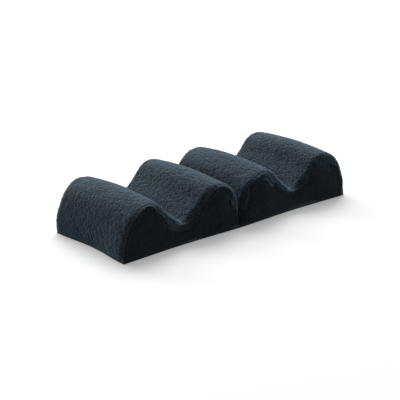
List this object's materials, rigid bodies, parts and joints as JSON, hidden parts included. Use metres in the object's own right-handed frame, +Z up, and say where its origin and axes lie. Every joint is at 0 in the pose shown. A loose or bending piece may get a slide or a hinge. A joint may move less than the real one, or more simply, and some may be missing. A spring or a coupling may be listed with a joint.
{
  "type": "folding contoured knee pillow",
  "caption": "Contoured knee pillow of dark velour, opened flat: filled saddle-shaped halves joined by a cloth fold in their base.",
  "frame": {"origin": "middle of the underside, on the line of the fold", "axes": "+X along the opened pillow, across the knee troughs; +Y along the troughs and the fold; +Z up from the surface it rests on"},
  "size_m": [0.5072, 0.186, 0.0942],
  "materials": {
    "velour": "short dense charcoal-blue pile",
    "base_cloth": "plain dark woven cloth"
  },
  "bodies": {
    "root": {"pad_left": "velour", "pad_right": "velour", "base_panel": "base_cloth"}
  },
  "joints": []
}
